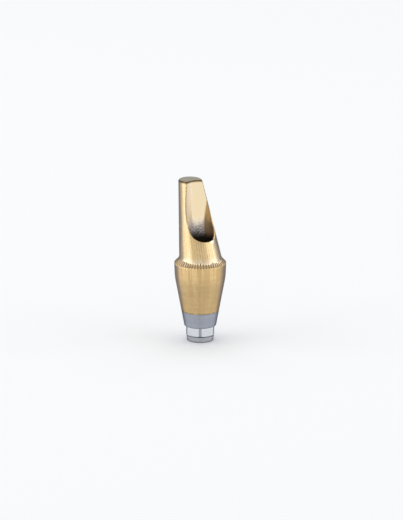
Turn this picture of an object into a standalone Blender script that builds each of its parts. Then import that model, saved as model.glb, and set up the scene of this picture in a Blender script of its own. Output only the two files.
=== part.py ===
"""Angled dental abutment, turned and milled as one piece of titanium.

From the bottom up it is a short pilot, a hexagon with trimmed corners, a conical seat that flares into a
collar, a bevelled shoulder, and a tapered post that leans back. A screw channel on the implant axis runs
down through it, and breaks out of the leaning post as a long open scoop.

Metres, +Z up. The origin is the centre of the pilot's end face, on the implant axis. The post leans
towards +Y, so the scoop faces -Y. Two corners of the hexagon lie on the X axis.
"""
import math

import bmesh
import bpy
from mathutils import Vector

MM = 0.001

# Pilot, the round foot that finds the implant's bore
PILOT_END_DIAMETER = 2.30 * MM
PILOT_TOP_DIAMETER = 2.38 * MM
PILOT_HEIGHT = 0.48 * MM
PILOT_EDGE_BREAK = 0.03 * MM

# Hexagon that stops rotation in the implant, with its corners turned down and a lead-in below them
HEX_ACROSS_FLATS = 2.45 * MM
HEX_CORNER_DIAMETER = 2.70 * MM
HEX_HEIGHT = 0.86 * MM
LEAD_IN_ANGLE = math.radians(45)

# Body: conical seat, flare, collar and bevelled shoulder
SEAT_FOOT_DIAMETER = 2.78 * MM
SEAT_EDGE_BREAK = 0.03 * MM
SEAT_HALF_ANGLE = math.radians(10.6)
SEAT_HEIGHT = 1.33 * MM
COLLAR_HEIGHT = 1.26 * MM
COLLAR_HALF_ANGLE = math.radians(2)
COLLAR_BLEND_RADIUS = 6.0 * MM
BODY_HEIGHT = 5.65 * MM
SHOULDER_DIAMETER = 4.50 * MM
SHOULDER_BEVEL_ANGLE = math.radians(45)

# Post that carries the crown
MARGIN_WIDTH = 0.42 * MM
POST_TILT = math.radians(15)
POST_TAPER = math.radians(6.8)
POST_BEND_RISE = 0.40 * MM
POST_HEIGHT = 7.00 * MM
TOP_EDGE_BREAK = 0.10 * MM

# Screw channel, the seat of the screw's head, and the hole for its shank
CHANNEL_DIAMETER = 2.40 * MM
SCOOP_RIM_LAND = 0.09 * MM
SCREW_SEAT_HEIGHT = 3.00 * MM
SHANK_HOLE_DIAMETER = 1.80 * MM
SHANK_EDGE_BREAK = 0.03 * MM

# Facets
SEGMENTS = 96
BLEND_STEPS = 8
CUTTER_OVERRUN = 0.30 * MM

SHELF_HEIGHT = PILOT_HEIGHT + HEX_HEIGHT
SEAT_FOOT_HEIGHT = SHELF_HEIGHT + SEAT_EDGE_BREAK
COATING_LINE_HEIGHT = SEAT_FOOT_HEIGHT + SEAT_HEIGHT
SHOULDER_HEIGHT = SHELF_HEIGHT + BODY_HEIGHT
TOP_HEIGHT = SHOULDER_HEIGHT + POST_HEIGHT


def clear_scene():
    for old in list(bpy.data.objects):
        bpy.data.objects.remove(old, do_unlink=True)


def principled(name, color, roughness):
    material = bpy.data.materials.new(name)
    material.use_nodes = True
    shader = material.node_tree.nodes["Principled BSDF"]
    shader.inputs["Base Color"].default_value = (*color, 1.0)
    shader.inputs["Metallic"].default_value = 1.0
    shader.inputs["Roughness"].default_value = roughness
    material.diffuse_color = (*color, 1.0)
    return material


def skinned(rings):
    """A closed solid skinned over rings of points, with a flat cap on the first and the last."""
    shape = bmesh.new()
    rows = [[shape.verts.new(point) for point in ring] for ring in rings]
    for lower, upper in zip(rows, rows[1:]):
        for index, corner in enumerate(lower):
            shape.faces.new((lower[index - 1], corner, upper[index], upper[index - 1]))
    caps = [shape.faces.new(rows[0]), shape.faces.new(rows[-1])]
    sides = [face for face in shape.faces if face not in caps]
    bmesh.ops.triangulate(shape, faces=sides)
    bmesh.ops.recalc_face_normals(shape, faces=shape.faces)
    return shape


def finished_object(name, shape, finishes):
    """Turns a bmesh into an object whose faces take the coating above its line and bare metal below."""
    for face in shape.faces:
        face.material_index = 0 if face.calc_center_median().z > COATING_LINE_HEIGHT else 1
    mesh = bpy.data.meshes.new(name)
    shape.to_mesh(mesh)
    shape.free()
    for finish in finishes:
        mesh.materials.append(finish)
    made = bpy.data.objects.new(name, mesh)
    bpy.context.collection.objects.link(made)
    return made


def as_guide(guide):
    guide.hide_render = True
    guide.display_type = "WIRE"
    return guide


def turned(profile):
    """A solid of revolution about Z. The profile is (radius, height) from the axis back to the axis."""
    shape = bmesh.new()
    points = [shape.verts.new((radius, 0, height)) for radius, height in profile]
    edges = [shape.edges.new(pair) for pair in zip(points, points[1:])]
    bmesh.ops.spin(shape, geom=points + edges, cent=(0, 0, 0), axis=(0, 0, 1), angle=math.tau, steps=SEGMENTS,
                   use_merge=True)
    bmesh.ops.remove_doubles(shape, verts=shape.verts, dist=1e-4 * MM)
    bmesh.ops.recalc_face_normals(shape, faces=shape.faces)
    return shape


def fillet(start, corner, end, radius, steps):
    """Points of the arc that rounds a corner between two straight lines of a profile."""
    to_start = (Vector(start) - Vector(corner)).normalized()
    to_end = (Vector(end) - Vector(corner)).normalized()
    half_angle = to_start.angle(to_end) / 2
    centre = Vector(corner) + (to_start + to_end).normalized() * radius / math.sin(half_angle)
    first = Vector(corner) + to_start * radius / math.tan(half_angle) - centre
    last = Vector(corner) + to_end * radius / math.tan(half_angle) - centre
    turn = first.angle_signed(last)
    arc = []
    for step in range(steps + 1):
        angle = -turn * step / steps
        x = first.x * math.cos(angle) - first.y * math.sin(angle)
        y = first.x * math.sin(angle) + first.y * math.cos(angle)
        arc.append((centre.x + x, centre.y + y))
    return arc


def foot_shape():
    """Pilot, lead-in and the round bar that the hexagon is milled from."""
    end_radius = PILOT_END_DIAMETER / 2
    top_radius = PILOT_TOP_DIAMETER / 2
    corner_radius = HEX_CORNER_DIAMETER / 2
    lead_in_height = (corner_radius - top_radius) * math.tan(LEAD_IN_ANGLE)
    inside_body = SHELF_HEIGHT + CUTTER_OVERRUN
    return turned([
        (0, 0),
        (end_radius - PILOT_EDGE_BREAK, 0),
        (end_radius, PILOT_EDGE_BREAK),
        (top_radius, PILOT_HEIGHT),
        (corner_radius, PILOT_HEIGHT + lead_in_height),
        (corner_radius, inside_body),
        (0, inside_body),
    ])


def hexagon_shape():
    """A tall hexagonal prism that the foot is milled down to."""
    shape = bmesh.new()
    sharp_radius = HEX_ACROSS_FLATS / 2 / math.cos(math.pi / 6)
    corners = []
    for side in range(6):
        angle = math.tau * side / 6
        corners.append(shape.verts.new((sharp_radius * math.cos(angle), sharp_radius * math.sin(angle),
                                        -CUTTER_OVERRUN)))
    base = shape.faces.new(corners)
    grown = bmesh.ops.extrude_face_region(shape, geom=[base])
    raised = [item for item in grown["geom"] if isinstance(item, bmesh.types.BMVert)]
    bmesh.ops.translate(shape, verts=raised, vec=(0, 0, SHELF_HEIGHT + 3 * CUTTER_OVERRUN))
    bmesh.ops.recalc_face_normals(shape, faces=shape.faces)
    return shape


def body_shape():
    """Everything turned above the shelf: seat cone, flare, collar and the shoulder's bevel."""
    foot_radius = SEAT_FOOT_DIAMETER / 2
    shoulder_radius = SHOULDER_DIAMETER / 2
    seat_top = (foot_radius + SEAT_HEIGHT * math.tan(SEAT_HALF_ANGLE), COATING_LINE_HEIGHT)
    collar_foot = (shoulder_radius - COLLAR_HEIGHT * math.tan(COLLAR_HALF_ANGLE), SHOULDER_HEIGHT - COLLAR_HEIGHT)
    shoulder = (shoulder_radius, SHOULDER_HEIGHT)
    bevel_end_radius = SHANK_HOLE_DIAMETER / 2
    bevel_end_height = SHOULDER_HEIGHT + (shoulder_radius - bevel_end_radius) * math.tan(SHOULDER_BEVEL_ANGLE)
    return turned([
        (0, SHELF_HEIGHT),
        (foot_radius - SEAT_EDGE_BREAK, SHELF_HEIGHT),
        (foot_radius, SEAT_FOOT_HEIGHT),
        seat_top,
        *fillet(seat_top, collar_foot, shoulder, COLLAR_BLEND_RADIUS, BLEND_STEPS),
        shoulder,
        (bevel_end_radius, bevel_end_height),
        (0, bevel_end_height),
    ])


def post_section(height):
    """The level outline of the leaning cone at one height, with one point on each of its straight lines."""
    bend_radius = SHOULDER_DIAMETER / 2 - MARGIN_WIDTH
    bend_height = SHOULDER_HEIGHT + POST_BEND_RISE
    narrowing = math.tan(POST_TAPER)
    outline = []
    for segment in range(SEGMENTS):
        angle = math.tau * segment / SEGMENTS
        tilt_part = math.sin(angle) * math.sin(POST_TILT)
        along = (height - bend_height + bend_radius * tilt_part) / (math.cos(POST_TILT) + narrowing * tilt_part)
        radius = bend_radius - along * narrowing
        outline.append(Vector((
            radius * math.cos(angle),
            along * math.sin(POST_TILT) + radius * math.sin(angle) * math.cos(POST_TILT),
            height,
        )))
    return outline


def inset(outline, distance):
    """A level outline moved inwards by the same distance all round."""
    moved = []
    for index, point in enumerate(outline):
        tangent = outline[(index + 1) % len(outline)] - outline[index - 1]
        inwards = Vector((-tangent.y, tangent.x, 0)).normalized()
        moved.append(point + inwards * distance)
    return moved


def post_shape():
    """The leaning, tapered post up to its level top, before the channel opens it."""
    return skinned([
        post_section(SHOULDER_HEIGHT),
        post_section(TOP_HEIGHT - TOP_EDGE_BREAK),
        inset(post_section(TOP_HEIGHT), TOP_EDGE_BREAK),
    ])


def height_leaving_post(x, y):
    """The height where a line straight up from (x, y) comes out through the post's leaning side."""
    sine = math.sin(POST_TILT)
    cosine = math.cos(POST_TILT)
    narrowing = math.tan(POST_TAPER)
    level_radius = SHOULDER_DIAMETER / 2 - MARGIN_WIDTH - narrowing * y * sine
    a = sine ** 2 - (narrowing * cosine) ** 2
    b = 2 * cosine * (narrowing * level_radius - y * sine)
    c = x ** 2 + (y * cosine) ** 2 - level_radius ** 2
    return SHOULDER_HEIGHT + POST_BEND_RISE + (math.sqrt(b ** 2 - 4 * a * c) - b) / (2 * a)


def channel_shape():
    """The space that the screw and its driver pass through, flared out past both ends."""
    channel_radius = CHANNEL_DIAMETER / 2
    shank_radius = SHANK_HOLE_DIAMETER / 2
    return turned([
        (0, -CUTTER_OVERRUN),
        (shank_radius + SHANK_EDGE_BREAK + CUTTER_OVERRUN, -CUTTER_OVERRUN),
        (shank_radius, SHANK_EDGE_BREAK),
        (shank_radius, SCREW_SEAT_HEIGHT),
        (channel_radius, SCREW_SEAT_HEIGHT),
        (channel_radius, TOP_HEIGHT - TOP_EDGE_BREAK),
        (channel_radius + TOP_EDGE_BREAK + CUTTER_OVERRUN, TOP_HEIGHT + CUTTER_OVERRUN),
        (0, TOP_HEIGHT + CUTTER_OVERRUN),
    ])


def scoop_rim_shape():
    """The space above a narrow land that breaks the sharp rim where the channel leaves the leaning post."""
    inner_radius = CHANNEL_DIAMETER / 2 - CUTTER_OVERRUN
    rim_radius = CHANNEL_DIAMETER / 2 + SCOOP_RIM_LAND
    outer_radius = rim_radius + CUTTER_OVERRUN
    directions = []
    for segment in range(SEGMENTS):
        angle = math.tau * segment / SEGMENTS
        directions.append(Vector((math.cos(angle), math.sin(angle), 0)))
    heights = [height_leaving_post(way.x * rim_radius, way.y * rim_radius) for way in directions]
    floor = min(heights) - CUTTER_OVERRUN
    ceiling = max(heights) + CUTTER_OVERRUN
    return skinned([
        [way * inner_radius + Vector((0, 0, floor)) for way in directions],
        [way * inner_radius + Vector((0, 0, height)) for way, height in zip(directions, heights)],
        [way * outer_radius + Vector((0, 0, height)) for way, height in zip(directions, heights)],
        [way * outer_radius + Vector((0, 0, ceiling)) for way in directions],
    ])


def combine(target, other, operation):
    boolean = target.modifiers.new(other.name, "BOOLEAN")
    boolean.operation = operation
    boolean.solver = "EXACT"
    boolean.object = other


def shade(made):
    """Keeps the round stretches smooth and the edges between them crisp."""
    made.data.shade_smooth()
    made.data.set_sharp_from_angle(angle=math.radians(12))


def settle(made, guides):
    """Fixes an object's modifiers in its mesh and removes the guides they used."""
    depsgraph = bpy.context.evaluated_depsgraph_get()
    mesh = bpy.data.meshes.new_from_object(made.evaluated_get(depsgraph))
    made.modifiers.clear()
    made.data = mesh
    for guide in guides:
        bpy.data.objects.remove(guide, do_unlink=True)


def build():
    clear_scene()
    finishes = [
        principled("gold_nitride_coating", (0.78, 0.57, 0.30), 0.32),
        principled("bare_titanium", (0.56, 0.58, 0.62), 0.28),
    ]
    foot = as_guide(finished_object("foot_blank", foot_shape(), finishes))
    hexagon = as_guide(finished_object("hexagon_form", hexagon_shape(), finishes))
    post = as_guide(finished_object("post_blank", post_shape(), finishes))
    channel = as_guide(finished_object("channel_cutter", channel_shape(), finishes))
    scoop_rim = as_guide(finished_object("scoop_rim_cutter", scoop_rim_shape(), finishes))
    combine(foot, hexagon, "INTERSECT")
    abutment = finished_object("abutment", body_shape(), finishes)
    combine(abutment, foot, "UNION")
    combine(abutment, post, "UNION")
    combine(abutment, channel, "DIFFERENCE")
    combine(abutment, scoop_rim, "DIFFERENCE")
    settle(abutment, [foot, hexagon, post, channel, scoop_rim])
    shade(abutment)


build()
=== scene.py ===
"""Looks of the angled dental abutment: its machined surface, its gold nitride coating and a small light tent.

Lengths are millimetres times MM, in the row's frame: +Z up the implant axis, the post leaning towards +Y and
its open scoop facing -Y. The finished surface replaces the plain solid and keeps its form.
"""
import math
import random

import bmesh
import bpy
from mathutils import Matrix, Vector


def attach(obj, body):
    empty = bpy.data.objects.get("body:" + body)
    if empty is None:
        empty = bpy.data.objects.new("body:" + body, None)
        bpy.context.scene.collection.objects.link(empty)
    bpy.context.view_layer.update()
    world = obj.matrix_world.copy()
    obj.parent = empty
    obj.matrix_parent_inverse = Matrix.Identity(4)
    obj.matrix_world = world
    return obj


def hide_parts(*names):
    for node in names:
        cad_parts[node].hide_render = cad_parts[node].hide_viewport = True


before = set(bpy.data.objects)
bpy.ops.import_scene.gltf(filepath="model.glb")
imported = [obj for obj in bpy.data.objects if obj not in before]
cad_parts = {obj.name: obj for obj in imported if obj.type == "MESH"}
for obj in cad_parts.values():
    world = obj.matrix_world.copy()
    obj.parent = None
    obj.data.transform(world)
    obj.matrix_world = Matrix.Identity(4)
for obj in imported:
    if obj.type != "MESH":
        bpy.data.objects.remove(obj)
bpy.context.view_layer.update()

MM = 0.001

# Pilot and hexagon
PILOT_END_DIAMETER = 2.30 * MM
PILOT_TOP_DIAMETER = 2.38 * MM
PILOT_HEIGHT = 0.48 * MM
PILOT_EDGE_BREAK = 0.03 * MM
HEX_ACROSS_FLATS = 2.45 * MM
HEX_CORNER_DIAMETER = 2.70 * MM
HEX_HEIGHT = 0.86 * MM
LEAD_IN_ANGLE = math.radians(45)

# Body
SEAT_FOOT_DIAMETER = 2.78 * MM
SEAT_EDGE_BREAK = 0.03 * MM
SEAT_HALF_ANGLE = math.radians(10.6)
SEAT_HEIGHT = 1.33 * MM
COLLAR_HEIGHT = 1.26 * MM
COLLAR_HALF_ANGLE = math.radians(2)
COLLAR_BLEND_RADIUS = 6.0 * MM
BODY_HEIGHT = 5.65 * MM
SHOULDER_DIAMETER = 4.50 * MM
SHOULDER_BEVEL_ANGLE = math.radians(45)

# Post
MARGIN_WIDTH = 0.42 * MM
POST_TILT = math.radians(15)
POST_TAPER = math.radians(6.8)
POST_BEND_RISE = 0.40 * MM
POST_HEIGHT = 7.00 * MM
TOP_EDGE_BREAK = 0.10 * MM

# Screw channel
CHANNEL_DIAMETER = 2.40 * MM
SCOOP_RIM_LAND = 0.09 * MM
SCREW_SEAT_HEIGHT = 3.00 * MM
SHANK_HOLE_DIAMETER = 1.80 * MM
SHANK_EDGE_BREAK = 0.03 * MM

# What follows from them
SHELF_HEIGHT = PILOT_HEIGHT + HEX_HEIGHT
SEAT_FOOT_HEIGHT = SHELF_HEIGHT + SEAT_EDGE_BREAK
COATING_LINE_HEIGHT = SEAT_FOOT_HEIGHT + SEAT_HEIGHT
SHOULDER_HEIGHT = SHELF_HEIGHT + BODY_HEIGHT
TOP_HEIGHT = SHOULDER_HEIGHT + POST_HEIGHT
RIM_RADIUS = CHANNEL_DIAMETER / 2 + SCOOP_RIM_LAND

# Marks of the milling cutter: upright flutes round the post, which end as teeth in the shoulder's bevel
MARKS_SEED = 4
FLUTES = 56
FLUTE_DEPTH = 0.0015 * MM
TOOTH_DEPTH = 0.040 * MM
TOOTH_DEPTH_SHARES = (0.85, 1.0)
TOOTH_REACH = 0.85
TOOTH_REACH_SHARES = (0.8, 1.2)
TOOTH_FADE = 0.12
CUTTER_STEP = 0.20 * MM

# Painted glint round the lip on the land and the post, low on the right of the channel's mouth
LIP_TURN = 53

# Small rounds that only the finished surface has
FOOT_FILLET_WIDTH = 0.045 * MM
FOOT_FILLET_HEIGHT = 0.20 * MM
SHOULDER_ROUND = 0.05 * MM

# Sockets that have to be taken by number, as two or more of a node's share a name or can't be found by it
VECTOR_MATH_SCALE = 3
MIX_COLOURS = (6, 7)
MIX_RESULT = 2

# Mesh: points round the axis, and rows of points up each part of a form
STEPS_PER_FLUTE = 10
SEGMENTS = FLUTES * STEPS_PER_FLUTE
PLAIN_SEGMENTS = 288
SEAT_ROWS = 12
FLARE_ROWS = 20
BLEND_ROWS = 16
COLLAR_ROWS = 10
SHOULDER_ROWS = 6
BEVEL_ROWS = 14
BEVEL_ROWS_INSIDE_POST = 2
FILLET_ROWS = 8
FILLET_ROWS_INSIDE_BODY = 3
POST_ROWS = 22
FOOT_SEARCH_STEPS = 24
CUTTER_OVERRUN = 0.30 * MM
WELD_DISTANCE = 0.0003 * MM
SHARP_ANGLE = math.radians(14)

# Camera, as the photograph was framed
CAMERA_AZIMUTH = math.radians(-30)
CAMERA_ELEVATION = math.radians(16)
CAMERA_DISTANCE = 346 * MM
CAMERA_LENS = 276.9
CAMERA_SENSOR = 36.0
CAMERA_CLIP = (1 * MM, 5000 * MM)
AIM_HEIGHT = 7.163 * MM
AIM_RIGHT = 0.1125 * MM

# Studio. Turns are in degrees to the right of the camera, and levels are brightness with 1 for plain white.
FLOOR_RADIUS = 1200 * MM
FLOOR_SEGMENTS = 128
FLOOR_COLOUR = (0.905, 0.899, 0.877)
FLOOR_ROUGHNESS = 0.9
WORLD_COLOUR = (0.94, 0.955, 0.965)
WORLD_LIGHT = 0.71
LAMP_COLOUR = (0.97, 1.0, 1.10)
SOFT_BOXES = (
    ("soft_box_left", -80, 25, 405 * MM, 360 * MM, 0.98),
    ("soft_box_right", 80, 25, 405 * MM, 360 * MM, 0.68),
    ("soft_box_top", 180, 75, 600 * MM, 600 * MM, 1.1),
)
# Low levels near the axis paint the foot's contact shadow into what the metal mirrors
FLOOR_CARD_LEVELS = (
    (1.1 * MM, 0.45), (1.6 * MM, 0.60), (2.6 * MM, 0.70), (4.5 * MM, 0.66), (6.0 * MM, 0.79),
    (8.0 * MM, 0.62), (12.0 * MM, 0.82), (16.5 * MM, 1.02), (30.0 * MM, 1.03),
)
FLOOR_CARD_TURNS = 72
FLOOR_CARD_LIFT = 0.02 * MM
FRONT_SHADE = 0.10
FRONT_SHADE_TURN = 18
EDGE_CARD_TURNS = (96, 122, 150, 162)
EDGE_CARD_COLUMNS = 22
EDGE_CARD_DISTANCE = 9 * MM
EDGE_CARD_HEIGHT = 16 * MM
EDGE_CARD_LEVEL = 0.40
EDGE_CARD_RIM_LEVEL = 0.72
EDGE_CARD_TINT = (0.93, 1.03, 1.5)
FRONT_CARD_TURN = 28
FRONT_CARD_STEP = 4
FRONT_CARD_DISTANCE = 60 * MM
FRONT_CARD_HEIGHTS = (30 * MM, 110 * MM)
FRONT_CARD_LEVEL = 0.66

# Colours of the coating, and of the highlights, glints and shade painted on it
GOLD = (0.81, 0.585, 0.295)
GOLD_DEEP = (0.76, 0.535, 0.26)
GOLD_STREAK = (0.62, 0.43, 0.20)
GOLD_SHADE = (0.36, 0.25, 0.11)
GOLD_PALE = (0.92, 0.77, 0.52)
# Painted highlight round the post's foot
GOLD_FOOT_HIGHLIGHT = (0.82, 0.69, 0.52)
GOLD_PIT = (0.42, 0.29, 0.13)
# Painted shade in and between the teeth
GOLD_TEETH_SHADE = (0.27, 0.18, 0.085)
GOLD_DARK_BROWN = (0.16, 0.10, 0.05)
EDGE_DARK_BROWN = (0.07, 0.045, 0.018)
EDGE_BROWN = (0.19, 0.125, 0.045)
# Painted glint at the lip
LIP_GLINT = (0.98, 0.94, 0.68)
REAMED_GOLD = (0.94, 0.75, 0.47)
REAMED_HIGHLIGHT = (1.0, 0.86, 0.64)
REAMED_WALL_SHADE = (0.50, 0.355, 0.175)

# Colours of the bare metal, and of the shade and glints painted on it
BORE_BARE = (0.46, 0.41, 0.40)
BORE_GLINT = (1.0, 0.96, 0.97)
BORE_WALL_SHADE = (0.47, 0.33, 0.20)
BORE_SHADE = (0.06, 0.05, 0.035)
TOP_DEEP = (0.245, 0.215, 0.155)
TOP_BRIGHT = (0.30, 0.265, 0.195)
TITANIUM = (0.49, 0.52, 0.60)
TITANIUM_DEEP = (0.45, 0.48, 0.555)
# Painted shade along edges and on the hexagon's turned corners
TITANIUM_SHADE = (0.17, 0.18, 0.20)
PILOT_DEEP = (0.56, 0.58, 0.63)
PILOT_BRIGHT = (0.62, 0.64, 0.69)
FLAT_DEEP = (0.87, 0.915, 1.0)
FLAT_BRIGHT = (0.92, 0.96, 1.0)

# Tints of what the metal mirrors at a grazing angle
EDGE_TINT = (0.42, 0.46, 0.56, 1.0)
POST_EDGE_TINT = (0.52, 0.50, 0.46, 1.0)
REAMED_EDGE_TINT = (0.4, 0.4, 0.4, 1.0)

# Materials. Places and lengths are plain millimetres here, and a pair is where a change starts and ends.
# A share is how far one colour takes over from another, with 1 for all the way.
NOISE_SCALE = 5.0
MOTTLE = (0.35, 0.65)
SPREAD = (0.3, 0.7)
LINE_EDGES = (0.22, 0.46)
EDGE_SHADE_SHARE = 0.65

# Under the top
TOP_BROWN_DROP = (-0.22, -0.10)
TOP_BROWN_SHARE = 0.70

# Bevel, with its height as a share of its own rise
# Painted highlight over the bevel, and painted shade on its teeth and towards the camera
BEVEL_HIGHLIGHT_RISE = (0.0, 0.15)
BEVEL_HIGHLIGHT_SHARE = 0.45
BEVEL_FLANKS = (1.0, 1.5)
BEVEL_SHADE_RISE = (0.0, 0.12)
BEVEL_SHADE_END = (0.45, 0.75)
BEVEL_SHADE_SHARE = 0.75
BEVEL_SHADE_FRONT = (1.7, 2.0)
GROOVE_DEPTHS = (0.52, 0.80)
GROOVE_SHARE_ON_FLANKS = 0.35
BEVEL_ATTRIBUTE_RISE = (-0.05, 1.3)

# Turned body
RING_STRETCH = 0.05
STREAK_STRETCH = 0.03
COLLAR_STREAKS = (5.5, 6.0)
COLLAR_STREAK_SHARES = (0.3, 0.9)
BODY_STREAKS = (0.44, 0.55)
BODY_RINGS = (0.50, 0.60)
BODY_RING_SHARE = 0.25
LINE_DROP = 0.03
LINE_WANDER = 0.10
LINE_SHARPNESS = (-0.02, 0.02)
LINE_DARK_WIDTH = (0.03, 0.12)
LINE_DARK_PATCHES = (0.38, 0.52)
LINE_DARK_SHARES = (0.1, 0.6)
SHELF_EDGE = (0.03, 0.09)
BODY_ROUGHNESS = (0.25, 0.33)
BODY_RING_RELIEF = 0.0010
BODY_STREAK_RELIEF = 0.0090

# Milled post
POST_STRETCH = 0.04
POST_DARK_STREAKS = (0.38, 0.52)
POST_DARK_SHARE = 0.5
POST_PALE_STREAKS = (0.50, 0.66)
POST_PALE_SHARE = 0.6
# Painted highlight on the right of the post
POST_HIGHLIGHT_SIDE = (0.2, 1.3)
POST_HIGHLIGHT_SHARES = (0.10, 0.36)
FLUTE_TONE_SHARE = 0.30
FLUTE_LINE_SHARES = (0.55, 0.15)
STEP_WANDER = 3.0
STEP_PATCHES = (0.42, 0.62)
STEP_LINE_SHARE = 0.30
# Painted highlight round the post's foot, towards the front and the back
FOOT_HIGHLIGHT_RISE = (0.05, 0.45)
FOOT_HIGHLIGHT_SHARE = 0.55
FOOT_HIGHLIGHT_FLANKS = (0.7, 1.2)
FOOT_TEETH_RISE = (-0.04, 0.10)
POST_LIP_GLINT = (0.18, 0.28)
POST_ROUGHNESS = (0.22, 0.34)
POST_STREAK_RELIEF = 0.0120
FLUTE_LINE_RELIEF = -0.0015
STEP_LINE_RELIEF = -0.0005

# Reamed channel wall
REAMED_RING_STRETCH = 0.3
REAMED_CLOUD_SHAPE = (1.0, 1.0, 0.3)
REAMED_SPECK_SHAPE = (1.0, 1.0, 2.5)
COATING_WANDER = 0.64
COATING_END = (9.6, 11.28)
BORE_SHADE_END = (9.15, 9.85)
SPARKLE_BOTTOM = 9.85
SPARKLE_GAIN = 0.15
SPARKLE = (0.45, 0.53)
REAMED_HIGHLIGHT_STRIP = (-0.95, -0.60)
REAMED_ROUGH_STRIP = (-1.00, -0.60)
REAMED_SMOOTHING = (-0.10, 0.47)
REAMED_ROUGHNESS = 0.60
# Painted shade on the channel's right wall
WALL_SHADE_BORDER = (0.29, 0.41)
WALL_SHADE_BEND = 10.7
WALL_SHADE_LEAN = 0.14
WALL_SHADE_SHARE = 0.9
REAMED_RING_RELIEF = 0.0004
BARE_RELIEF = 0.0100

# Foot, land and top
PILOT_END_EDGE = (0.04, 0.11)
LEAD_IN_RISE = 0.04
LEAD_IN_EDGE = (0.04, 0.10)
HEX_CORNER_SHADE_RISE = (0.1, 0.2)
HEX_CORNER_SHADE_SHARE = 0.27
PILOT_ROUGHNESS = (0.24, 0.30)
FLAT_ROUGHNESS = (0.18, 0.24)
FOOT_RELIEF = 0.0005
LAND_LIP_GLINT = (0.40, 0.55)
LAND_ROUGHNESS = (0.14, 0.20)
LAND_RELIEF = 0.0010
TOP_SCRATCH_SHAPE = (1.0, 9.0, 1.0)
TOP_ROUGHNESS = (0.34, 0.42)
TOP_RELIEF = 0.0010
TOP_EDGE_ROUGHNESS = (0.35, 0.45)


def from_axis(turn, rise, distance, height=AIM_HEIGHT):
    """A place seen from the axis: turn to the right of the camera and rise above the level, in degrees."""
    azimuth = CAMERA_AZIMUTH + math.radians(turn)
    rise = math.radians(rise)
    way = Vector((math.sin(azimuth) * math.cos(rise), -math.cos(azimuth) * math.cos(rise), math.sin(rise)))
    return Vector((0, 0, height)) + way * distance


def skinned(rings):
    """A closed solid skinned over rings of points, with a flat cap on the first and the last."""
    shape = bmesh.new()
    rows = [[shape.verts.new(point) for point in ring] for ring in rings]
    for lower, upper in zip(rows, rows[1:]):
        for index, corner in enumerate(lower):
            shape.faces.new((lower[index - 1], corner, upper[index], upper[index - 1]))
    shape.faces.new(rows[0])
    shape.faces.new(rows[-1])
    bmesh.ops.recalc_face_normals(shape, faces=shape.faces)
    bmesh.ops.triangulate(shape, faces=shape.faces)
    return shape


def object_from(name, shape):
    mesh = bpy.data.meshes.new(name)
    shape.to_mesh(mesh)
    shape.free()
    made = bpy.data.objects.new(name, mesh)
    bpy.context.scene.collection.objects.link(made)
    return made


def directions(count):
    return [Vector((math.cos(math.tau * i / count), math.sin(math.tau * i / count), 0)) for i in range(count)]


def turned_rings(profile, count, relief=None):
    """Rings of points round Z for a profile of (radius, height), each moved inwards by relief(index, row)."""
    rings = []
    for row, (radius, height) in enumerate(profile):
        ring = []
        for index, way in enumerate(directions(count)):
            depth = relief(index, row) if relief else 0.0
            ring.append(way * (radius - depth) + Vector((0, 0, height)))
        rings.append(ring)
    return rings


def line_points(start, end, steps):
    """Points from start up to, and without, end."""
    first = Vector(start)
    last = Vector(end)
    return [tuple(first.lerp(last, step / steps)) for step in range(steps)]


def fillet(start, corner, end, radius, steps):
    """Points of the arc that rounds a corner between two straight lines of a profile."""
    to_start = (Vector(start) - Vector(corner)).normalized()
    to_end = (Vector(end) - Vector(corner)).normalized()
    half_angle = to_start.angle(to_end) / 2
    centre = Vector(corner) + (to_start + to_end).normalized() * radius / math.sin(half_angle)
    first = Vector(corner) + to_start * radius / math.tan(half_angle) - centre
    last = Vector(corner) + to_end * radius / math.tan(half_angle) - centre
    turn = first.angle_signed(last)
    arc = []
    for step in range(steps + 1):
        angle = -turn * step / steps
        x = first.x * math.cos(angle) - first.y * math.sin(angle)
        y = first.x * math.sin(angle) + first.y * math.cos(angle)
        arc.append((centre.x + x, centre.y + y))
    return arc


def smooth_step(value, low, high):
    share = min(1.0, max(0.0, (value - low) / (high - low)))
    return share * share * (3 - 2 * share)


class MillingMarks:
    """The upright flutes that the cutter leaves round the post, and the teeth that they end in."""

    def __init__(self, seed):
        chance = random.Random(seed)
        self.depth = [chance.uniform(*TOOTH_DEPTH_SHARES) for _ in range(FLUTES)]
        self.reach = [TOOTH_REACH * chance.uniform(*TOOTH_REACH_SHARES) for _ in range(FLUTES)]

    def scallop(self, index):
        """0 on the ridge between two flutes and 1 in the middle of one."""
        across = (index % STEPS_PER_FLUTE) / STEPS_PER_FLUTE
        return 1 - (2 * across - 1) ** 2

    def flute(self, index):
        return FLUTE_DEPTH * self.depth[index // STEPS_PER_FLUTE] * self.scallop(index)

    def tooth(self, index, along):
        """Depth in the bevel, for a share of its width measured from the shoulder's edge."""
        number = int(index) // STEPS_PER_FLUTE % FLUTES
        fade = 1 - smooth_step(along, self.reach[number] - TOOTH_FADE, self.reach[number] + TOOTH_FADE)
        return TOOTH_DEPTH * self.depth[number] * self.scallop(index) * fade


marks = MillingMarks(MARKS_SEED)


def place_in_teeth(point):
    """Which segment round the axis a point lies in, and how far up the bevel, with 1 at its top."""
    turn = math.atan2(point.y, point.x) / math.tau
    rise = (point.z - SHOULDER_HEIGHT) / (MARGIN_WIDTH * math.tan(SHOULDER_BEVEL_ANGLE))
    return turn * SEGMENTS % SEGMENTS, rise


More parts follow.
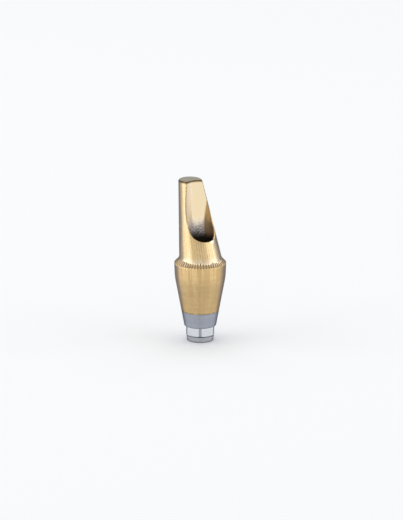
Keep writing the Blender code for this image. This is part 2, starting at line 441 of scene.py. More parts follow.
def foot_shape():
    """Pilot, lead-in and the round bar that the hexagon is milled from."""
    end_radius = PILOT_END_DIAMETER / 2
    top_radius = PILOT_TOP_DIAMETER / 2
    corner_radius = HEX_CORNER_DIAMETER / 2
    lead_in_height = (corner_radius - top_radius) * math.tan(LEAD_IN_ANGLE)
    return skinned(turned_rings([
        (end_radius - PILOT_EDGE_BREAK, 0),
        (end_radius, PILOT_EDGE_BREAK),
        (top_radius, PILOT_HEIGHT),
        (corner_radius, PILOT_HEIGHT + lead_in_height),
        (corner_radius, SHELF_HEIGHT + CUTTER_OVERRUN),
    ], PLAIN_SEGMENTS))


def hexagon_shape():
    """A tall hexagonal prism that the foot is milled down to."""
    sharp_radius = HEX_ACROSS_FLATS / 2 / math.cos(math.pi / 6)
    rings = []
    for height in (-CUTTER_OVERRUN, SHELF_HEIGHT + 2 * CUTTER_OVERRUN):
        rings.append([way * sharp_radius + Vector((0, 0, height)) for way in directions(6)])
    return skinned(rings)


def body_shape():
    """Seat cone, flare, collar and the shoulder's bevel with the cutter's teeth in it."""
    foot_radius = SEAT_FOOT_DIAMETER / 2
    shoulder_radius = SHOULDER_DIAMETER / 2
    seat_foot = (foot_radius, SEAT_FOOT_HEIGHT)
    seat_top = (foot_radius + SEAT_HEIGHT * math.tan(SEAT_HALF_ANGLE), COATING_LINE_HEIGHT)
    collar_radius = shoulder_radius - COLLAR_HEIGHT * math.tan(COLLAR_HALF_ANGLE)
    collar_foot = (collar_radius, SHOULDER_HEIGHT - COLLAR_HEIGHT)
    shoulder = (shoulder_radius, SHOULDER_HEIGHT)
    bevel_end_radius = SHANK_HOLE_DIAMETER / 2
    bevel_rise = (shoulder_radius - bevel_end_radius) * math.tan(SHOULDER_BEVEL_ANGLE)
    bevel_end = (bevel_end_radius, SHOULDER_HEIGHT + bevel_rise)
    blend = fillet(seat_top, collar_foot, shoulder, COLLAR_BLEND_RADIUS, BLEND_ROWS)
    edge = fillet(blend[-1], shoulder, bevel_end, SHOULDER_ROUND, SHOULDER_ROWS)
    bevel_width = MARGIN_WIDTH / math.cos(SHOULDER_BEVEL_ANGLE)
    bevel_way = (Vector(bevel_end) - Vector(shoulder)).normalized()
    bevel = []
    for step in range(1, BEVEL_ROWS + BEVEL_ROWS_INSIDE_POST + 1):
        bevel.append(tuple(Vector(edge[-1]) + bevel_way * bevel_width * step / BEVEL_ROWS))
    profile = [
        (foot_radius - SEAT_EDGE_BREAK, SHELF_HEIGHT),
        *line_points(seat_foot, seat_top, SEAT_ROWS),
        *line_points(seat_top, blend[0], FLARE_ROWS),
        *blend,
        *line_points(blend[-1], edge[0], COLLAR_ROWS)[1:],
        *edge,
        *bevel,
        bevel_end,
    ]
    first_tooth_row = len(profile) - 1 - len(bevel) - len(edge)

    def relief(index, row):
        if row < first_tooth_row:
            return 0.0
        return marks.tooth(index, (Vector(profile[row]) - Vector(shoulder)).length / bevel_width)

    return skinned(turned_rings(profile, SEGMENTS, relief))


def post_point(index, height, extra=0.0):
    """A place on one straight line of the leaning cone, at one height, moved outwards by extra."""
    bend_radius = SHOULDER_DIAMETER / 2 - MARGIN_WIDTH
    bend_height = SHOULDER_HEIGHT + POST_BEND_RISE
    narrowing = math.tan(POST_TAPER)
    angle = math.tau * index / SEGMENTS
    tilt_part = math.sin(angle) * math.sin(POST_TILT)
    along = (height - bend_height + bend_radius * tilt_part) / (math.cos(POST_TILT) + narrowing * tilt_part)
    radius = bend_radius - along * narrowing - marks.flute(index) + extra
    return Vector((
        radius * math.cos(angle),
        along * math.sin(POST_TILT) + radius * math.sin(angle) * math.cos(POST_TILT),
        height,
    ))


def post_section(height):
    """The level outline of the leaning cone at one height."""
    return [post_point(index, height) for index in range(SEGMENTS)]


def foot_height(index):
    """The height where one straight line of the leaning cone comes out of the shoulder's bevel."""
    low = 0.0
    high = 2 * MARGIN_WIDTH
    for _ in range(FOOT_SEARCH_STEPS):
        rise = (low + high) / 2
        bevel_radius = SHOULDER_DIAMETER / 2 - rise / math.tan(SHOULDER_BEVEL_ANGLE)
        if post_point(index, SHOULDER_HEIGHT + rise).xy.length < bevel_radius:
            low = rise
        else:
            high = rise
    return SHOULDER_HEIGHT + low


def foot_ring(feet, above):
    """A ring round the post's foot, so far above the bevel, with its fillet and the ends of the teeth."""
    share = min(1.0, 1 - above / FOOT_FILLET_HEIGHT)
    ring = []
    for index, foot in enumerate(feet):
        point = post_point(index, foot + above, FOOT_FILLET_WIDTH * share * share)
        way = Vector((point.x, point.y, 0)).normalized()
        ring.append(point - way * marks.tooth(*place_in_teeth(point)))
    return ring


def inset(outline, distance):
    """A level outline moved inwards by the same distance all round."""
    moved = []
    for index, point in enumerate(outline):
        tangent = outline[(index + 1) % len(outline)] - outline[index - 1]
        inwards = Vector((-tangent.y, tangent.x, 0)).normalized()
        moved.append(point + inwards * distance)
    return moved


def post_shape():
    """The leaning, tapered post up to its level top."""
    feet = [foot_height(index) for index in range(SEGMENTS)]
    low = max(feet) + FOOT_FILLET_HEIGHT
    high = TOP_HEIGHT - TOP_EDGE_BREAK
    rings = [post_section(SHOULDER_HEIGHT)]
    for step in range(-FILLET_ROWS_INSIDE_BODY, FILLET_ROWS + 1):
        rings.append(foot_ring(feet, FOOT_FILLET_HEIGHT * step / FILLET_ROWS))
    for step in range(1, POST_ROWS + 1):
        rings.append(post_section(low + (high - low) * step / POST_ROWS))
    rings.append(inset(post_section(TOP_HEIGHT), TOP_EDGE_BREAK))
    return skinned(rings)


def height_leaving_post(x, y):
    """The height where a line straight up from (x, y) comes out through the post's leaning side."""
    sine = math.sin(POST_TILT)
    cosine = math.cos(POST_TILT)
    narrowing = math.tan(POST_TAPER)
    level_radius = SHOULDER_DIAMETER / 2 - MARGIN_WIDTH - narrowing * y * sine
    a = sine ** 2 - (narrowing * cosine) ** 2
    b = 2 * cosine * (narrowing * level_radius - y * sine)
    c = x ** 2 + (y * cosine) ** 2 - level_radius ** 2
    return SHOULDER_HEIGHT + POST_BEND_RISE + (math.sqrt(b ** 2 - 4 * a * c) - b) / (2 * a)


def channel_shape():
    """The space that the screw and its driver pass through, flared out past both ends."""
    channel_radius = CHANNEL_DIAMETER / 2
    shank_radius = SHANK_HOLE_DIAMETER / 2
    return skinned(turned_rings([
        (shank_radius + SHANK_EDGE_BREAK + CUTTER_OVERRUN, -CUTTER_OVERRUN),
        (shank_radius, SHANK_EDGE_BREAK),
        (shank_radius, SCREW_SEAT_HEIGHT),
        (channel_radius, SCREW_SEAT_HEIGHT),
        (channel_radius, TOP_HEIGHT - TOP_EDGE_BREAK),
        (channel_radius + TOP_EDGE_BREAK + CUTTER_OVERRUN, TOP_HEIGHT + CUTTER_OVERRUN),
    ], PLAIN_SEGMENTS))


def rim_point(way):
    """The land's outer edge in one direction, where it meets the post's leaning side."""
    foot = way * RIM_RADIUS
    return foot + Vector((0, 0, height_leaving_post(foot.x, foot.y)))


def scoop_rim_shape():
    """The space above a narrow land that breaks the sharp rim where the channel leaves the leaning post."""
    inner_radius = CHANNEL_DIAMETER / 2 - CUTTER_OVERRUN
    outer_radius = RIM_RADIUS + CUTTER_OVERRUN
    ways = directions(PLAIN_SEGMENTS)
    heights = [rim_point(way).z for way in ways]
    floor = min(heights) - CUTTER_OVERRUN
    ceiling = max(heights) + CUTTER_OVERRUN
    return skinned([
        [way * inner_radius + Vector((0, 0, floor)) for way in ways],
        [way * inner_radius + Vector((0, 0, height)) for way, height in zip(ways, heights)],
        [way * outer_radius + Vector((0, 0, height)) for way, height in zip(ways, heights)],
        [way * outer_radius + Vector((0, 0, ceiling)) for way in ways],
    ])


def combine(target, other, operation):
    boolean = target.modifiers.new(other.name, "BOOLEAN")
    boolean.operation = operation
    boolean.solver = "EXACT"
    boolean.object = other


def settle(made, guides):
    """Fixes an object's modifiers in its mesh, welds that mesh clean and removes the guides they used."""
    depsgraph = bpy.context.evaluated_depsgraph_get()
    mesh = bpy.data.meshes.new_from_object(made.evaluated_get(depsgraph))
    made.modifiers.clear()
    shape = bmesh.new()
    shape.from_mesh(mesh)
    bmesh.ops.remove_doubles(shape, verts=shape.verts, dist=WELD_DISTANCE)
    bmesh.ops.triangulate(shape, faces=shape.faces)
    bmesh.ops.dissolve_degenerate(shape, dist=WELD_DISTANCE, edges=shape.edges)
    bmesh.ops.triangulate(shape, faces=shape.faces)
    shape.to_mesh(mesh)
    shape.free()
    made.data = mesh
    for guide in guides:
        bpy.data.objects.remove(guide, do_unlink=True)


class Graph:
    """Short calls for building one metal's node graph, with places in plain millimetres."""

    def __init__(self, name):
        self.material = bpy.data.materials.new(name)
        self.material.use_nodes = True
        self.nodes = self.material.node_tree.nodes
        self.links = self.material.node_tree.links
        self.shader = self.nodes["Principled BSDF"]
        self.shader.inputs["Metallic"].default_value = 1.0
        place = self.nodes.new("ShaderNodeTexCoord").outputs["Object"]
        self.place = self.vector("SCALE", place, scale=1 / MM)
        self.x, self.y, self.z = self.split(self.place)

    def put(self, socket, value):
        if isinstance(value, bpy.types.NodeSocket):
            self.links.new(value, socket)
        elif value is not None:
            socket.default_value = value

    def value(self, operation, *terms):
        node = self.nodes.new("ShaderNodeMath")
        node.operation = operation
        for socket, term in zip(node.inputs, terms):
            self.put(socket, term)
        return node.outputs[0]

    def vector(self, operation, *terms, scale=None):
        node = self.nodes.new("ShaderNodeVectorMath")
        node.operation = operation
        for socket, term in zip(node.inputs, terms):
            self.put(socket, term)
        self.put(node.inputs[VECTOR_MATH_SCALE], scale)
        return node.outputs["Value"] if operation in ("DOT_PRODUCT", "LENGTH") else node.outputs["Vector"]

    def split(self, vector):
        node = self.nodes.new("ShaderNodeSeparateXYZ")
        self.put(node.inputs[0], vector)
        return node.outputs

    def join(self, x, y, z):
        node = self.nodes.new("ShaderNodeCombineXYZ")
        for socket, term in zip(node.inputs, (x, y, z)):
            self.put(socket, term)
        return node.outputs[0]

    def noise(self, place, detail=3.0, roughness=0.5):
        """Soft noise with about five features to a millimetre. A stretched place stretches them."""
        node = self.nodes.new("ShaderNodeTexNoise")
        self.put(node.inputs["Vector"], place)
        self.put(node.inputs["Scale"], NOISE_SCALE)
        self.put(node.inputs["Detail"], detail)
        self.put(node.inputs["Roughness"], roughness)
        return node.outputs[0]

    def chance(self, number):
        node = self.nodes.new("ShaderNodeTexWhiteNoise")
        node.noise_dimensions = "1D"
        self.put(node.inputs["W"], number)
        return node.outputs[0]

    def ease(self, value, span, start=0.0, end=1.0):
        """Goes smoothly from start to end while a value crosses the span."""
        node = self.nodes.new("ShaderNodeMapRange")
        node.interpolation_type = "SMOOTHSTEP"
        for socket, term in zip(node.inputs, (value, *span, start, end)):
            self.put(socket, term)
        return node.outputs[0]

    def blend(self, share, first, second):
        node = self.nodes.new("ShaderNodeMix")
        node.data_type = "RGBA"
        self.put(node.inputs["Factor"], share)
        for socket, colour in zip(MIX_COLOURS, (first, second)):
            self.put(node.inputs[socket], (*colour, 1.0) if isinstance(colour, tuple) else colour)
        return node.outputs[MIX_RESULT]

    def mottle(self, noise, first, second):
        return self.blend(self.ease(noise, MOTTLE), first, second)

    def above(self, height, rise=0.0):
        """How far a place lies above a height given in metres, less a rise."""
        return self.value("SUBTRACT", self.z, height / MM + rise)

    def towards(self, turn):
        """How far a place lies off the axis towards one turn from the camera."""
        return self.vector("DOT_PRODUCT", self.place, from_axis(turn, 0, 1.0, 0.0))

    def attribute(self, name):
        node = self.nodes.new("ShaderNodeAttribute")
        node.attribute_type = "GEOMETRY"
        node.attribute_name = name
        return node.outputs["Fac"]

    def finished(self, colour, roughness, relief=(), edge_tint=None):
        """The material, with relief as (height, depth) layers whose depth is for a height of one."""
        self.put(self.shader.inputs["Base Color"], colour)
        self.put(self.shader.inputs["Roughness"], roughness)
        self.put(self.shader.inputs["Specular Tint"], edge_tint)
        normal = None
        for height, depth in relief:
            node = self.nodes.new("ShaderNodeBump")
            node.inputs["Distance"].default_value = depth * MM
            self.put(node.inputs["Height"], height)
            self.put(node.inputs["Normal"], normal)
            normal = node.outputs[0]
        self.put(self.shader.inputs["Normal"], normal)
        return self.material


def round_an_axis(graph, side, back, along, stretch):
    """Coordinates that run round an axis, with lengths along it squeezed by stretch."""
    radius = graph.vector("LENGTH", graph.join(side, back, 0.0))
    return graph.join(graph.value("DIVIDE", side, radius), graph.value("DIVIDE", back, radius),
                      graph.value("MULTIPLY", along, stretch))


def turning_rings(graph, stretch):
    """Level rings of noise, with places across the axis squeezed by stretch."""
    side = graph.value("MULTIPLY", graph.x, stretch)
    back = graph.value("MULTIPLY", graph.y, stretch)
    return graph.noise(graph.join(side, back, graph.z))


def in_the_post(graph):
    """Sideways, backwards and lengthwise places in the leaning post."""
    bend = (0.0, 0.0, (SHOULDER_HEIGHT + POST_BEND_RISE) / MM)
    from_bend = graph.vector("SUBTRACT", graph.place, bend)
    side = graph.vector("DOT_PRODUCT", from_bend, (1.0, 0.0, 0.0))
    back = graph.vector("DOT_PRODUCT", from_bend, (0.0, math.cos(POST_TILT), -math.sin(POST_TILT)))
    along = graph.vector("DOT_PRODUCT", from_bend, (0.0, math.sin(POST_TILT), math.cos(POST_TILT)))
    return side, back, along


def repeated_lines(graph, count):
    """A line at each whole number of count, and a chance value of its own for each space between two."""
    across = graph.value("ABSOLUTE", graph.value("SUBTRACT", graph.value("FRACT", count), 0.5))
    return graph.ease(across, LINE_EDGES), graph.chance(graph.value("FLOOR", count))


def browned_near_top(graph, gold):
    """Browns the coating just under the edges of the top."""
    return graph.blend(graph.ease(graph.above(TOP_HEIGHT), TOP_BROWN_DROP, 0.0, TOP_BROWN_SHARE), gold, GOLD_DARK_BROWN)


def shaded_edge(graph, metal, height, reach, rise=0.0):
    """Paints shade on bare metal along the edge at one height. The reach is where that starts and stops to
    fade.
    """
    off_edge = graph.value("ABSOLUTE", graph.above(height, rise))
    return graph.blend(graph.ease(off_edge, reach, EDGE_SHADE_SHARE, 0.0), metal, TITANIUM_SHADE)


def off_the_flanks(graph, span, start=0.0):
    """Start on the left and right flanks as the camera sees them, 1 towards the front and the back."""
    return graph.ease(graph.value("ABSOLUTE", graph.towards(0)), span, start)


def glint_at_lip(graph, span):
    """How far the painted glint reaches round the lip, low on the right of the channel's mouth."""
    lip = rim_point(from_axis(LIP_TURN, 0, 1.0, 0.0))
    to_lip = graph.vector("SUBTRACT", graph.place, lip / MM)
    return graph.ease(graph.vector("LENGTH", to_lip), span, 1.0, 0.0)


def with_teeth(graph, gold):
    """Painted highlight above the shoulder's edge, painted shade in the grooves, and painted shade between
    them towards the camera.
    """
    up_the_bevel = graph.value("DIVIDE", graph.above(SHOULDER_HEIGHT), MARGIN_WIDTH / MM)
    # Painted highlight over the bevel, towards the front and the back
    pale = graph.ease(up_the_bevel, BEVEL_HIGHLIGHT_RISE, 0.0, BEVEL_HIGHLIGHT_SHARE)
    pale = graph.value("MULTIPLY", pale, off_the_flanks(graph, BEVEL_FLANKS))
    gold = graph.blend(pale, gold, GOLD_PALE)
    # Painted shade between the teeth, towards the camera
    bevel_shade = graph.ease(up_the_bevel, BEVEL_SHADE_RISE)
    bevel_shade = graph.value("MULTIPLY", bevel_shade, graph.ease(graph.towards(0), BEVEL_SHADE_FRONT))
    bevel_shade_fade = graph.ease(up_the_bevel, BEVEL_SHADE_END, BEVEL_SHADE_SHARE, 0.0)
    gold = graph.blend(graph.value("MULTIPLY", bevel_shade, bevel_shade_fade), gold, GOLD_TEETH_SHADE)
    # Painted shade in the grooves, less on the flanks
    groove = graph.ease(graph.attribute("groove"), GROOVE_DEPTHS)
    groove = graph.value("MULTIPLY", groove, off_the_flanks(graph, BEVEL_FLANKS, GROOVE_SHARE_ON_FLANKS))
    return graph.blend(groove, gold, GOLD_TEETH_SHADE)


def turned_finish():
    """Lathe-turned body: gold above a slightly uneven coating line, bare titanium below it."""
    graph = Graph("turned_coating")
    rings = turning_rings(graph, RING_STRETCH)
    round_body = round_an_axis(graph, graph.x, graph.y, graph.z, STREAK_STRETCH)
    streaks = graph.noise(round_body, detail=2.0, roughness=0.6)
    clouds = graph.noise(graph.place, detail=1.0)
    wander = graph.noise(round_an_axis(graph, graph.x, graph.y, graph.z, 0.0))

    gold = graph.mottle(clouds, GOLD_DEEP, GOLD)
    on_collar = graph.ease(graph.z, COLLAR_STREAKS, *COLLAR_STREAK_SHARES)
    streaked = graph.value("MULTIPLY", graph.ease(streaks, BODY_STREAKS, 1.0, 0.0), on_collar)
    gold = graph.blend(streaked, gold, GOLD_STREAK)
    gold = graph.blend(graph.ease(rings, BODY_RINGS, 0.0, BODY_RING_SHARE), gold, GOLD_STREAK)
    gold = with_teeth(graph, gold)
    # Painted shade along the shelf's edge
    bare = shaded_edge(graph, graph.mottle(rings, TITANIUM_DEEP, TITANIUM), SHELF_HEIGHT, SHELF_EDGE)

    line_rise = graph.value("MULTIPLY", wander, LINE_WANDER)
    above_line = graph.value("SUBTRACT", graph.above(COATING_LINE_HEIGHT, -LINE_DROP), line_rise)
    # Darker in patches on both sides of the coating line
    line_darkening = graph.value("MULTIPLY", graph.ease(graph.value("ABSOLUTE", above_line), LINE_DARK_WIDTH, 1.0, 0.0),
                        graph.ease(wander, LINE_DARK_PATCHES, *LINE_DARK_SHARES))
    metal = graph.blend(graph.ease(above_line, LINE_SHARPNESS), bare, gold)
    metal = graph.blend(line_darkening, metal, GOLD_SHADE)
    streak_relief = graph.value("MULTIPLY", streaks, on_collar)
    relief = ((rings, BODY_RING_RELIEF), (streak_relief, BODY_STREAK_RELIEF))
    return graph.finished(metal, graph.ease(streaks, SPREAD, *BODY_ROUGHNESS), relief, EDGE_TINT)


def milled_finish():
    """Milled post: gold, with the cutter's flutes along it and, in places, its steps across them, and painted
    highlights on its right side and round its foot.
    """
    graph = Graph("milled_coating")
    side, back, along = in_the_post(graph)
    round_post = round_an_axis(graph, side, back, along, POST_STRETCH)
    streaks = graph.noise(round_post, roughness=0.6)
    patches = graph.noise(graph.place)
    clouds = graph.noise(graph.place, detail=1.0)
    flutes_round = graph.value("MULTIPLY", graph.value("ARCTAN2", back, side), FLUTES / math.tau)
    flute_lines, flute_tones = repeated_lines(graph, graph.value("ADD", flutes_round, patches))
    steps_along = graph.value("DIVIDE", along, CUTTER_STEP / MM)
    step_count = graph.value("ADD", steps_along, graph.value("MULTIPLY", patches, STEP_WANDER))
    step_lines = repeated_lines(graph, step_count)[0]

    gold = graph.mottle(clouds, GOLD_DEEP, GOLD)
    gold = graph.blend(graph.ease(streaks, POST_DARK_STREAKS, POST_DARK_SHARE, 0.0), gold, GOLD_STREAK)
    gold = graph.blend(graph.ease(streaks, POST_PALE_STREAKS, 0.0, POST_PALE_SHARE), gold, GOLD_PALE)
    # Painted highlight: paler towards the right of the post
    gold = graph.blend(graph.ease(graph.towards(90), POST_HIGHLIGHT_SIDE, *POST_HIGHLIGHT_SHARES), gold, GOLD_PALE)
    gold = graph.blend(graph.value("MULTIPLY", flute_tones, FLUTE_TONE_SHARE), gold, GOLD_STREAK)
    lined = graph.ease(patches, MOTTLE, *FLUTE_LINE_SHARES)
    gold = graph.blend(graph.value("MULTIPLY", flute_lines, lined), gold, GOLD_PIT)
    stepped = graph.ease(patches, STEP_PATCHES, 0.0, STEP_LINE_SHARE)
    gold = graph.blend(graph.value("MULTIPLY", step_lines, stepped), gold, GOLD_PIT)

    above_foot = graph.above(SHOULDER_HEIGHT + MARGIN_WIDTH)
    # Painted highlight round the post's foot, towards the front and the back
    pale = graph.value("MULTIPLY", graph.ease(above_foot, FOOT_HIGHLIGHT_RISE, FOOT_HIGHLIGHT_SHARE, 0.0),
                       off_the_flanks(graph, FOOT_HIGHLIGHT_FLANKS))
    gold = graph.blend(pale, gold, GOLD_FOOT_HIGHLIGHT)
    gold = graph.blend(graph.ease(above_foot, FOOT_TEETH_RISE), with_teeth(graph, gold), gold)
    gold = browned_near_top(graph, gold)
    # Painted glint round the lip
    gold = graph.blend(glint_at_lip(graph, POST_LIP_GLINT), gold, LIP_GLINT)
    relief = ((streaks, POST_STREAK_RELIEF), (flute_lines, FLUTE_LINE_RELIEF), (step_lines, STEP_LINE_RELIEF))
    return graph.finished(gold, graph.ease(streaks, SPREAD, *POST_ROUGHNESS), relief, POST_EDGE_TINT)


def reamed_finish():
    """Channel wall: smooth pale gold near its mouth, bare and rougher where the coating thins out below, with
    a painted highlight down its left side, painted shade on its right side, painted glints on the bare metal
    and painted shade deep in the bore.
    """
    graph = Graph("reamed_coating")
    rings = turning_rings(graph, REAMED_RING_STRETCH)
    clouds = graph.noise(graph.vector("MULTIPLY", graph.place, REAMED_CLOUD_SHAPE), detail=2.0)
    speck_place = graph.vector("MULTIPLY", graph.place, REAMED_SPECK_SHAPE)
    specks = graph.noise(speck_place, detail=4.0, roughness=0.7)
    ragged_height = graph.value("ADD", graph.z, graph.value("MULTIPLY", specks, COATING_WANDER))
    coated = graph.ease(ragged_height, COATING_END)
    right = graph.towards(90)
    # Painted shade on the channel's right wall, with a border that leans above a bend
    above_bend = graph.value("MAXIMUM", graph.value("SUBTRACT", graph.z, WALL_SHADE_BEND), 0.0)
    off_border = graph.value("SUBTRACT", right, graph.value("MULTIPLY", above_bend, WALL_SHADE_LEAN))
    right_wall_shade = graph.ease(off_border, WALL_SHADE_BORDER)

    gold = graph.mottle(clouds, REAMED_GOLD, GOLD_PALE)
    # Painted highlight down the channel's left wall
    gold = graph.blend(graph.ease(right, REAMED_HIGHLIGHT_STRIP, 1.0, 0.0), gold, REAMED_HIGHLIGHT)
    # Painted shade on the right wall
    gold = graph.blend(graph.value("MULTIPLY", right_wall_shade, WALL_SHADE_SHARE), gold, REAMED_WALL_SHADE)
    gold = browned_near_top(graph, gold)

    # Painted glints on the bare metal, more of them higher up towards the mouth
    higher = graph.value("SUBTRACT", graph.z, SPARKLE_BOTTOM)
    sparkle = graph.value("ADD", specks, graph.value("MULTIPLY", higher, SPARKLE_GAIN))
    bare = graph.blend(graph.ease(sparkle, SPARKLE), BORE_BARE, BORE_GLINT)
    # Painted shade on the right wall of the bare bore
    bare = graph.blend(right_wall_shade, bare, BORE_WALL_SHADE)
    # Painted shade deep in the bore
    bare = graph.blend(graph.ease(ragged_height, BORE_SHADE_END), BORE_SHADE, bare)

    smooth = graph.value("MULTIPLY", coated, graph.ease(right, REAMED_ROUGH_STRIP, *REAMED_SMOOTHING))
    roughness = graph.value("SUBTRACT", REAMED_ROUGHNESS, smooth)
    bare_relief = graph.value("MULTIPLY", specks, graph.value("SUBTRACT", 1.0, coated))
    relief = ((rings, REAMED_RING_RELIEF), (bare_relief, BARE_RELIEF))
    return graph.finished(graph.blend(coated, bare, gold), roughness, relief, REAMED_EDGE_TINT)


def foot_finish(name, deep, bright, roughness, corner_shade_share):
    """Bare titanium of the pilot or of the hexagon's flats, with painted shade at its edges and, on the
    pilot's finish, over the hexagon's turned corners above it.
    """
    graph = Graph(name)
    clouds = graph.noise(graph.place)
    metal = graph.mottle(clouds, deep, bright)
    # Painted shade on the hexagon's turned corners
    corners = graph.ease(graph.above(PILOT_HEIGHT), HEX_CORNER_SHADE_RISE, 0.0, corner_shade_share)
    metal = graph.blend(corners, metal, TITANIUM_SHADE)
    # Painted shade along the pilot's end and the lead-in
    metal = shaded_edge(graph, metal, 0.0, PILOT_END_EDGE)
    metal = shaded_edge(graph, metal, PILOT_HEIGHT, LEAD_IN_EDGE, LEAD_IN_RISE)
    return graph.finished(metal, graph.ease(clouds, SPREAD, *roughness), ((clouds, FOOT_RELIEF),), EDGE_TINT)


def land_finish():
    """The narrow land round the mouth of the channel: brown, with a painted glint at the lip."""
    graph = Graph("rim_land")
    clouds = graph.noise(graph.place, detail=2.0)
    brown = graph.mottle(clouds, GOLD_SHADE, GOLD_STREAK)
    # Painted glint at the lip
    colour = graph.blend(glint_at_lip(graph, LAND_LIP_GLINT), brown, LIP_GLINT)
    return graph.finished(colour, graph.ease(clouds, SPREAD, *LAND_ROUGHNESS), ((clouds, LAND_RELIEF),))


def top_finish():
    """The dressed top of the post, finely scratched and duller than the rest."""
    graph = Graph("dressed_top")
    scratches = graph.noise(graph.vector("MULTIPLY", graph.place, TOP_SCRATCH_SHAPE))
    colour = graph.mottle(scratches, TOP_DEEP, TOP_BRIGHT)
    return graph.finished(colour, graph.ease(scratches, SPREAD, *TOP_ROUGHNESS), ((scratches, TOP_RELIEF),))


def top_edge_finish():
    """The broken edges of the top, in dark brown."""
    graph = Graph("dark_brown_edge")
    clouds = graph.noise(graph.place)
    colour = graph.blend(graph.ease(clouds, SPREAD), EDGE_DARK_BROWN, EDGE_BROWN)
    return graph.finished(colour, graph.ease(clouds, SPREAD, *TOP_EDGE_ROUGHNESS))


# Finishes, and the place of each in the list
finishes = [
    turned_finish(),
    milled_finish(),
    reamed_finish(),
    foot_finish("turned_titanium", PILOT_DEEP, PILOT_BRIGHT, PILOT_ROUGHNESS, HEX_CORNER_SHADE_SHARE),
    foot_finish("milled_titanium", FLAT_DEEP, FLAT_BRIGHT, FLAT_ROUGHNESS, 0.0),
    land_finish(),
    top_finish(),
    top_edge_finish(),
]
TURNED, MILLED, REAMED, FOOT, FLATS, LAND, TOP, TOP_EDGE = range(len(finishes))


def set_finish(made, finish):
    """Every slot is named on every form, so that a face keeps its finish through the Booleans."""
    for material in finishes:
        made.data.materials.append(material)
    for face in made.data.polygons:
        face.material_index = finish


def finish_top(made):
    """The level top face of the post and the broken edges round it take their own finishes."""
    edge_start = TOP_HEIGHT - TOP_EDGE_BREAK * 0.98
    level = 0.9
    for face in made.data.polygons:
        if face.center.z >= edge_start:
            face.material_index = TOP if face.normal.z > level else TOP_EDGE


def store_grooves(made):
    """Keeps how deep each point of the bevel lies in the cutter's teeth, for the finish to darken."""
    lowest, highest = BEVEL_ATTRIBUTE_RISE
    grooves = made.data.attributes.new("groove", "FLOAT", "POINT")
    for vertex in made.data.vertices:
        index, rise = place_in_teeth(vertex.co)
        if lowest < rise < highest:
            grooves.data[vertex.index].value = marks.tooth(index, rise) / TOOTH_DEPTH


def make_abutment():
    forms = {
        "abutment_finished": (body_shape(), TURNED),
        "foot_blank": (foot_shape(), FOOT),
        "hexagon_form": (hexagon_shape(), FLATS),
        "post_blank": (post_shape(), MILLED),
        "channel_cutter": (channel_shape(), REAMED),
        "scoop_rim_cutter": (scoop_rim_shape(), LAND),
    }
    made = {}
    for name, (shape, finish) in forms.items():
        made[name] = object_from(name, shape)
        set_finish(made[name], finish)
    abutment = made.pop("abutment_finished")
    combine(made["foot_blank"], made["hexagon_form"], "INTERSECT")
    combine(abutment, made["foot_blank"], "UNION")
    combine(abutment, made["post_blank"], "UNION")
    combine(abutment, made["channel_cutter"], "DIFFERENCE")
    combine(abutment, made["scoop_rim_cutter"], "DIFFERENCE")
    settle(abutment, list(made.values()))
    finish_top(abutment)
    store_grooves(abutment)
    abutment.data.shade_smooth()
    abutment.data.set_sharp_from_angle(angle=SHARP_ANGLE)
    return abutment


abutment = make_abutment()
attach(abutment, "root")
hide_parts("abutment")


def soft_box(name, turn, rise, distance, side, strength):
    """A square soft box that faces the object. Strength 1 shows in the metal as plain white."""
    lamp = bpy.data.lights.new(name, "AREA")
    lamp.shape = "SQUARE"
    lamp.size = side
    lamp.color = LAMP_COLOUR
    lamp.energy = strength * math.pi * side * side
    made = bpy.data.objects.new(name, lamp)
    made.location = from_axis(turn, rise, distance)
    to_object = Vector((0, 0, AIM_HEIGHT)) - made.location
    made.rotation_euler = to_object.to_track_quat("-Z", "Y").to_euler()
    made.visible_camera = False
    bpy.context.scene.collection.objects.link(made)


def studio_card(name, rows, tint=(1.0, 1.0, 1.0)):
    """A card that only the metal mirrors, skinned over rows of (point, level)."""
    shape = bmesh.new()
    levels = shape.verts.layers.float.new("level")
    grid = []
    for row in rows:
        grid.append([])
        for point, level in row:
            corner = shape.verts.new(point)
            corner[levels] = level
            grid[-1].append(corner)
    for lower, upper in zip(grid, grid[1:]):
        for index in range(1, len(lower)):
            shape.faces.new((lower[index - 1], lower[index], upper[index], upper[index - 1]))
    card = object_from(name, shape)
    material = bpy.data.materials.new(name)
    material.use_nodes = True
    nodes = material.node_tree.nodes
    level = nodes.new("ShaderNodeAttribute")
    level.attribute_name = "level"
    glow = nodes.new("ShaderNodeEmission")
    glow.inputs["Color"].default_value = (*tint, 1.0)
    material.node_tree.links.new(level.outputs["Fac"], glow.inputs["Strength"])
    material.node_tree.links.new(glow.outputs[0], nodes["Material Output"].inputs["Surface"])
    nodes.remove(nodes["Principled BSDF"])
    material.cycles.emission_sampling = "NONE"
    card.data.materials.append(material)
    card.visible_camera = False
    card.visible_diffuse = False
    card.visible_shadow = False


def side_shade(turn):
    """How far the dark cards beside the object reach in, 0 to 1, for a turn from the camera."""
    inner, full, easing, outer = EDGE_CARD_TURNS
    return smooth_step(abs(turn), inner, full) * (1 - smooth_step(abs(turn), easing, outer))


def edge_card(name, side):
    """A dark upright card behind one side of the object, which draws its outline against the white."""
    columns = []
    inner, outer = EDGE_CARD_TURNS[0], EDGE_CARD_TURNS[-1]
    for step in range(EDGE_CARD_COLUMNS + 1):
        turn = side * (inner + (outer - inner) * step / EDGE_CARD_COLUMNS)
        shade = side_shade(turn)
        level = EDGE_CARD_RIM_LEVEL * (1 - shade) + EDGE_CARD_LEVEL * shade
        foot = from_axis(turn, 0, EDGE_CARD_DISTANCE, 0.0)
        columns.append([(foot, level), (foot + Vector((0, 0, EDGE_CARD_HEIGHT)), level)])
    studio_card(name, columns, EDGE_CARD_TINT)


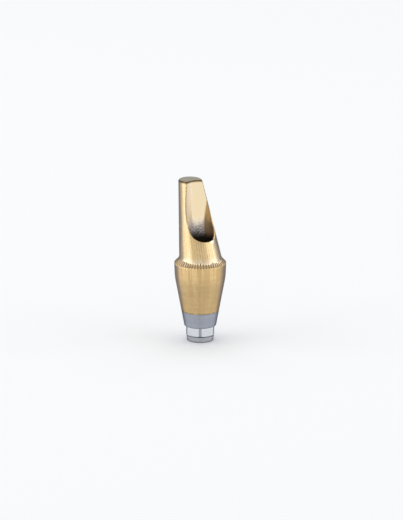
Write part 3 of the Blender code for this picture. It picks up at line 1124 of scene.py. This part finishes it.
def floor_card():
    """A grey card on the floor, darkest round the foot as a painted contact shadow, a little darker straight
    in front of the object and dark at its sides.
    """
    rings = []
    for radius, grey in FLOOR_CARD_LEVELS:
        ring = []
        for step in range(FLOOR_CARD_TURNS + 1):
            turn = 360 * step / FLOOR_CARD_TURNS - 180
            shade = side_shade(turn) if radius < EDGE_CARD_DISTANCE else 0.0
            front = 1 - FRONT_SHADE * math.exp(-(turn / FRONT_SHADE_TURN) ** 2)
            level = grey * front * (1 - shade) + EDGE_CARD_LEVEL * shade
            ring.append((from_axis(turn, 0, radius, FLOOR_CARD_LIFT), level))
        rings.append(ring)
    studio_card("floor_card", rings)


def front_card():
    """A grey card high up behind the camera, which tones down the front of the leaning post."""
    columns = []
    for turn in range(-FRONT_CARD_TURN, FRONT_CARD_TURN + 1, FRONT_CARD_STEP):
        foot = from_axis(turn, 0, FRONT_CARD_DISTANCE, 0.0)
        columns.append([(foot + Vector((0, 0, height)), FRONT_CARD_LEVEL) for height in FRONT_CARD_HEIGHTS])
    studio_card("front_card", columns)


def make_floor():
    shape = bmesh.new()
    bmesh.ops.create_circle(shape, cap_ends=True, radius=FLOOR_RADIUS, segments=FLOOR_SEGMENTS)
    floor = object_from("studio_floor", shape)
    material = bpy.data.materials.new("pale_floor")
    material.use_nodes = True
    shader = material.node_tree.nodes["Principled BSDF"]
    shader.inputs["Base Color"].default_value = (*FLOOR_COLOUR, 1.0)
    shader.inputs["Roughness"].default_value = FLOOR_ROUGHNESS
    shader.inputs["Specular IOR Level"].default_value = 0.0
    floor.data.materials.append(material)


def make_world():
    """Even light all round, plain white where the camera or the metal looks at it."""
    world = bpy.data.worlds.new("studio_white")
    world.use_nodes = True
    nodes = world.node_tree.nodes
    links = world.node_tree.links
    background = nodes["Background"]
    background.inputs["Color"].default_value = (*WORLD_COLOUR, 1.0)
    path = nodes.new("ShaderNodeLightPath")
    seen = path.outputs["Is Camera Ray"]
    for ray in ("Is Glossy Ray", "Is Transmission Ray"):
        either = nodes.new("ShaderNodeMath")
        either.operation = "ADD"
        either.use_clamp = True
        links.new(seen, either.inputs[0])
        links.new(path.outputs[ray], either.inputs[1])
        seen = either.outputs[0]
    strength = nodes.new("ShaderNodeMapRange")
    strength.inputs["To Min"].default_value = WORLD_LIGHT
    strength.inputs["To Max"].default_value = 1.0
    links.new(seen, strength.inputs["Value"])
    links.new(strength.outputs[0], background.inputs["Strength"])
    bpy.context.scene.world = world


def make_camera():
    data = bpy.data.cameras.new("camera")
    data.lens = CAMERA_LENS
    data.sensor_width = CAMERA_SENSOR
    data.clip_start, data.clip_end = CAMERA_CLIP
    camera = bpy.data.objects.new("camera", data)
    aim = Vector((0, 0, AIM_HEIGHT)) + from_axis(90, 0, AIM_RIGHT, 0.0)
    back = from_axis(0, math.degrees(CAMERA_ELEVATION), 1.0, 0.0)
    camera.location = aim + back * CAMERA_DISTANCE
    camera.rotation_euler = (-back).to_track_quat("-Z", "Y").to_euler()
    bpy.context.scene.collection.objects.link(camera)
    bpy.context.scene.camera = camera


make_floor()
make_world()
floor_card()
edge_card("edge_card_left", -1)
edge_card("edge_card_right", 1)
front_card()
for box in SOFT_BOXES:
    soft_box(*box)
make_camera()
bpy.context.scene.view_settings.view_transform = "Standard"
